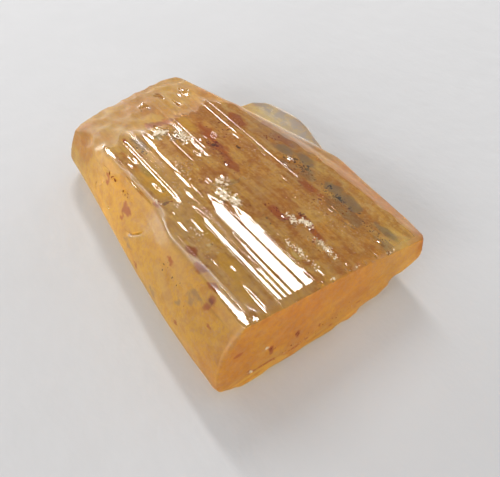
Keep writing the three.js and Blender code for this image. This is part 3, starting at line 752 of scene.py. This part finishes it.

# ------------------------------------------------------------------ splinters on the face
# Where the striated face is bruised, splinters of the crystal still stand in it. They are white
# with cracks, and flush with the face or a few hundredths of a millimetre proud of it. Their white
# is partly a painted highlight, standing in for the glints they throw, on the face, on the
# cleavage and on the thin plate.
# White of cracked crystal, partly painted glint.
WHITE_AND_PAINTED_GLINT = ((0.85, 0.6, 0.3), (1.0, 0.92, 0.74))
BRUISED = [
    (under_face(-8.1, 5.3, -0.01), (0.35, 0.5, 0.01), 90, 0.07, LEVEL, 0.3),
    (under_face(-7.2, 4.95, -0.01), (0.5, 0.3, 0.01), 90, 0.06, LEVEL, 0.3),
    (under_face(-6.5, 5.1, -0.01), (0.35, 0.2, 0.01), 50, 0.08, LEVEL, 0.3),
    (under_face(-4.1, 6.65, -0.01), (0.45, 0.22, 0.01), 80, 0.06, LEVEL, 0.3),
    (under_face(-3.5, 7.05, -0.01), (0.4, 0.2, 0.01), 60, 0.07, LEVEL, 0.3),
    (under_face(-1.8, 6.7, -0.01), (0.8, 0.25, 0.01), 110, 0.05, LEVEL, 0.3),
    (under_face(-2.0, 5.5, -0.01), (1.2, 0.22, 0.01), 90, 0.05, LEVEL, 0.3),
    (under_face(-13.3, 4.9, -0.01), (0.35, 0.4, 0.01), 80, 0.07, LEVEL, 0.3),
    (under_face(-12.4, 5.8, -0.01), (0.6, 0.4, 0.01), 110, 0.06, LEVEL, 0.3),
    (under_face(-8.5, 1.9, -0.01), (0.3, 0.1, 0.01), 30, 0.04, LEVEL, 0.3),
    (under_face(-5.8, 2.4, -0.01), (0.5, 0.3, 0.01), 40, 0.04, LEVEL, 0.3),
    (under_face(-10.3, 4.2, -0.01), (1.2, 0.4, 0.01), 60, 0.035, LEVEL, 0.3),
    (under_face(-9.0, 8.0, -0.01), (2.5, 1.2, 0.01), 90, 0.025, LEVEL, 0.3),
    (under_face(-3.5, 8.0, -0.01), (2.2, 1.2, 0.01), 90, 0.025, LEVEL, 0.3),
    (under_face(-0.12, 5.8, 0.02), (0.05, 0.2, 0.03), 8, 0.05, ANY, 0.3),
    (under_face(-0.12, 6.9, 0.02), (0.05, 0.7, 0.03), 14, 0.04, ANY, 0.3),
    (under_face(-0.12, 9.3, 0.02), (0.05, 0.5, 0.03), 8, 0.04, ANY, 0.3),
    ((-14.3, 12.4, 2.0), (0.15, 0.15, 0.005), 8, 0.09, LEVEL, 0.2),
    ((-13.8, 12.8, 2.0), (0.15, 0.12, 0.005), 7, 0.08, LEVEL, 0.2),
    ((-0.004, 1.35, 0.85), (0.002, 0.12, 0.06), 8, 0.06, ACROSS, 0.1),
    ((-0.004, 2.2, 1.9), (0.002, 0.14, 0.07), 9, 0.06, ACROSS, 0.1),
    ((-0.004, 3.4, 0.8), (0.002, 2.2, 0.25), 34, 0.03, ACROSS, 0.1),
    ((-0.004, 6.8, 1.5), (0.002, 1.4, 0.5), 20, 0.03, ACROSS, 0.1),
]
splinter_films = strewn_films("surface_splinters", BRUISED, 8, 0.12, 0.02)
white = film_material("cracked_white_with_painted_glint", 20.0, 1.5, WHITE_AND_PAINTED_GLINT, "Streaks", (0.2, 0.45), 0.6, 0.01)
splinter_films.data.materials.append(white)
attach(splinter_films, "root")

# ------------------------------------------------------------------ iron stains
# Rust that water carried into the cracks. It dried there as thin red-brown films and crumbs, in
# the body of the crystal and, where a crack comes out, at its skin.
RED_BROWN = ((0.45, 0.07, 0.008), (0.2, 0.04, 0.008))
STAINED = [
    (under_face(-13.7, 2.95, 0.2), (0.2, 0.08, 0.03), 6, 0.09, LEVEL, 0.5),
    (under_face(-11.7, 1.2, 0.35), (0.35, 0.05, 0.1), 7, 0.1, ACROSS, 0.8),
    (under_face(-9.9, 1.2, 0.6), (0.7, 0.06, 0.2), 10, 0.08, ACROSS, 0.8),
    (under_face(-8.3, 2.2, 0.25), (0.1, 0.6, 0.05), 16, 0.07, LEVEL, 0.6),
    (under_face(-3.7, 1.5, 0.3), (0.3, 0.2, 0.06), 14, 0.09, LEVEL, 0.6),
    (under_face(-2.4, 0.95, 0.5), (0.3, 0.12, 0.15), 12, 0.1, ANY, 0.6),
    (under_face(-4.2, 7.3, 0.25), (0.35, 0.1, 0.05), 20, 0.1, LEVEL, 0.5),
    (under_face(-3.9, 6.5, 0.3), (0.5, 0.12, 0.05), 18, 0.06, LEVEL, 0.5),
    (under_face(-4.2, 6.5, -0.012), (0.25, 0.1, 0.005), 10, 0.07, LEVEL, 0.2),
    (under_face(-3.4, 7.2, -0.012), (0.3, 0.08, 0.005), 9, 0.05, LEVEL, 0.2),
    (under_face(-2.4, 6.6, -0.012), (0.2, 0.1, 0.005), 7, 0.045, LEVEL, 0.2),
    (under_face(-1.7, 6.9, -0.012), (0.4, 0.15, 0.005), 8, 0.04, LEVEL, 0.2),
    (under_face(-13.7, 2.95, -0.012), (0.15, 0.06, 0.005), 5, 0.06, LEVEL, 0.2),
    (under_face(-8.4, 2.0, -0.012), (0.08, 0.4, 0.005), 9, 0.05, LEVEL, 0.2),
    (under_face(-2.4, 6.6, 0.3), (0.6, 0.2, 0.05), 22, 0.05, LEVEL, 0.6),
    (under_face(-5.0, 6.4, 0.3), (0.7, 0.2, 0.05), 20, 0.05, LEVEL, 0.6),
    (under_face(-11.0, 6.95, 0.4), (0.8, 0.25, 0.15), 24, 0.09, LEVEL, 0.7),
    (under_face(-9.4, 6.6, 0.4), (0.8, 0.2, 0.15), 20, 0.07, LEVEL, 0.7),
    (under_face(-12.3, 8.6, 0.5), (1.0, 1.0, 0.2), 60, 0.06, LEVEL, 0.7),
    (under_face(-10.4, 10.2, 0.4), (0.7, 0.7, 0.1), 30, 0.06, LEVEL, 0.7),
    (under_face(-4.5, 9.0, 0.5), (3.0, 1.0, 0.2), 50, 0.05, LEVEL, 0.7),
    ((-0.004, 2.45, 1.6), (0.002, 0.2, 0.15), 9, 0.06, ACROSS, 0.1),
    ((-0.004, 3.9, 1.65), (0.002, 0.12, 0.2), 7, 0.05, ACROSS, 0.1),
    ((-0.004, 3.2, 0.8), (0.002, 1.8, 0.2), 26, 0.035, ACROSS, 0.1),
    ((-0.004, 5.9, 1.2), (0.002, 1.6, 0.5), 16, 0.03, ACROSS, 0.1),
    ((-2.6, 0.15, 2.6), (1.2, 0.08, 0.5), 12, 0.07, (0, -1, 0), 0.6),
]
iron_stains = strewn_films("iron_stains", STAINED, 6, 0.12, 0.02)
rust = film_material("rust_film", 12.0, 1.5, RED_BROWN, "Clouds", (0.3, 0.6), 0.6, 0.02)
iron_stains.data.materials.append(rust)
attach(iron_stains, "root")

# ------------------------------------------------------------------ dark grains
# Specks of black and brown mineral, a few hundredths of a millimetre across. They settled on the
# growing crystal, which closed over them. The dense clouds of them under the thin side and near
# the far end are also painted shade: they darken the grey patches where the dark table shows
# through.
SOOTY = ((0.05, 0.03, 0.015), (0.12, 0.07, 0.03))
GRAINS = [
    (under_face(-11.1, 6.95, 0.35), (0.12, 0.1, 0.05), 8, 0.12, LEVEL, 0.8),
    (under_face(-10.4, 7.85, 0.35), (0.1, 0.08, 0.05), 6, 0.1, LEVEL, 0.8),
    (under_face(-14.4, 1.95, 0.35), (0.2, 0.03, 0.05), 4, 0.07, LEVEL, 0.8),
    (under_face(-6.0, 5.6, 0.2), (0.05, 0.05, 0.03), 2, 0.05, LEVEL, 0.8),
    (under_face(-4.9, 5.7, 0.2), (0.25, 0.06, 0.03), 7, 0.06, LEVEL, 0.8),
    (under_face(-4.4, 5.6, 0.2), (0.08, 0.05, 0.03), 3, 0.06, LEVEL, 0.8),
    (under_face(-2.7, 0.9, 0.9), (0.1, 0.05, 0.06), 4, 0.08, ANY, 0.8),
    (under_face(-4.8, 2.6, 0.2), (0.1, 0.05, 0.03), 3, 0.05, LEVEL, 0.8),
    # Painted shade: these clouds of grains darken the grey patches of the dark table seen through.
    (under_face(-7.5, 9.9, 0.5), (1.3, 0.35, 0.15), 60, 0.08, LEVEL, 0.8),
    (under_face(-4.4, 9.9, 0.5), (1.4, 0.3, 0.15), 60, 0.08, LEVEL, 0.8),
    (under_face(-1.6, 9.7, 0.5), (0.9, 0.3, 0.12), 60, 0.04, LEVEL, 0.8),
    (under_face(-10.9, 6.9, 0.7), (1.2, 0.4, 0.2), 120, 0.04, LEVEL, 0.8),
    # Painted shade as well, under the grey patch near the far end.
    (under_face(-13.0, 3.4, 0.4), (0.7, 0.3, 0.1), 60, 0.04, LEVEL, 0.8),
    ((-4.5, 0.5, 3.0), (1.4, 0.2, 0.6), 90, 0.035, (0, -1, 0), 0.8),
]
dark_grains = strewn_films("dark_grains", GRAINS, 7, 0.35)
dark_mineral_and_shade = film_material("dark_mineral_and_shade", 16.0, 1.0, SOOTY, "Clouds", (0.35, 0.6), 0.5, 0.01)
dark_grains.data.materials.append(dark_mineral_and_shade)
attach(dark_grains, "root")

# ------------------------------------------------------------------ the camera
# The camera looks down at the near left corner from three centimetres away, as a hand-held
# close-up does.
LENS, SENSOR = 46.8, 36
CAMERA_PLACE = (12.594, -7.671, 25.0)
CAMERA_AZIMUTH, CAMERA_ELEVATION = 54.5, 45.7
eye = bpy.data.cameras.new("camera")
eye.lens = LENS
eye.sensor_width = SENSOR
eye.clip_start, eye.clip_end = 0.001, 2
camera = bpy.data.objects.new("camera", eye)
bpy.context.scene.collection.objects.link(camera)
camera.location = crystal_origin + np.array(CAMERA_PLACE) * MM
turn, tilt = math.radians(CAMERA_AZIMUTH), math.radians(CAMERA_ELEVATION)
ahead = Vector((-math.sin(turn) * math.cos(tilt), math.cos(turn) * math.cos(tilt), -math.sin(tilt)))
camera.rotation_mode = "QUATERNION"
camera.rotation_quaternion = ahead.to_track_quat("-Z", "Y")
bpy.context.scene.camera = camera

# ------------------------------------------------------------------ the table and the light
# A plain pale paper on the table, under soft boxes: a window strip above, a low box at the left,
# one behind and a wide one in front. Only the paper is seen.
FLOOR_HALF = 0.6  # in metres, as is the next
FLOOR_GAP = 0.00003
PAPER = ((0.68, 0.68, 0.69), (0.72, 0.72, 0.73))
ROOM_COLOUR, ROOM_LIGHT = (1.0, 0.98, 0.96, 1), 0.42
floor_mesh = bpy.data.meshes.new("floor")
corners = [(-1, -1), (1, -1), (1, 1), (-1, 1)]
floor_mesh.from_pydata(
    [(FLOOR_HALF * across, FLOOR_HALF * back, -FLOOR_GAP) for across, back in corners],
    [],
    [(0, 1, 2, 3)],
)
floor = bpy.data.objects.new("floor", floor_mesh)
bpy.context.scene.collection.objects.link(floor)
paper, tree, sheet = new_material("paper")
weave = grain(tree, 0.8, 1.5)
tree.links.new(blend(tree, weave["Clouds"], *PAPER), sheet.inputs["Base Color"])
tree.links.new(spread(tree, weave["Grain"], 0.3, 0.7, 0.8, 0.95), sheet.inputs["Roughness"])
bump = node(tree, "Bump", {"Strength": 0.3, "Distance": 0.1 * MM}, Height=weave["Streaks"])
tree.links.new(bump.outputs["Normal"], sheet.inputs["Normal"])
floor_mesh.materials.append(paper)

bpy.context.scene.view_settings.view_transform = "Standard"
world = bpy.data.worlds.new("world")
bpy.context.scene.world = world
world.use_nodes = True
room = world.node_tree.nodes["Background"]
room.inputs["Color"].default_value = ROOM_COLOUR
room.inputs["Strength"].default_value = ROOM_LIGHT


def soft_light(name, from_place, aim, long_way, long, short, brightness):
    """A soft box at from_place, its long side lying along long_way; brightness is as seen."""
    lamp = bpy.data.lights.new(name, "AREA")
    lamp.shape = "RECTANGLE"
    lamp.size, lamp.size_y = long * MM, short * MM
    lamp.energy = brightness * math.pi * lamp.size * lamp.size_y
    box = bpy.data.objects.new(name, lamp)
    bpy.context.scene.collection.objects.link(box)
    box.visible_camera = False
    back = (Vector(from_place) - Vector(aim)).normalized()
    side = Vector(long_way)
    side = (side - side.dot(back) * back).normalized()
    turned = Matrix((side, back.cross(side), back)).transposed()
    box.matrix_world = Matrix.Translation(crystal_origin + np.array(from_place) * MM) @ turned.to_4x4()


# The window is a strip that the level band of the striated face mirrors to the camera.
BAND_MIDDLE = Vector((-4.0, 4.05, 4.05))
MIRRORED = Vector((-0.606, 0.342, 0.718))
CRYSTAL_MIDDLE = (-9, 6, 2)
soft_light("window", BAND_MIDDLE + 250 * MIRRORED, BAND_MIDDLE, (-0.265, -0.087, -0.182), 115, 20, 24)
soft_light("left_box", (-235, -20, 30), CRYSTAL_MIDDLE, (0, 1, 0), 200, 50, 15)
soft_light("back_box", (-90, 225, 25), CRYSTAL_MIDDLE, (1, 0, 0), 260, 50, 9.5)
soft_light("near_box", (80, -250, 100), CRYSTAL_MIDDLE, (1, 0, 0), 260, 160, 4.4)
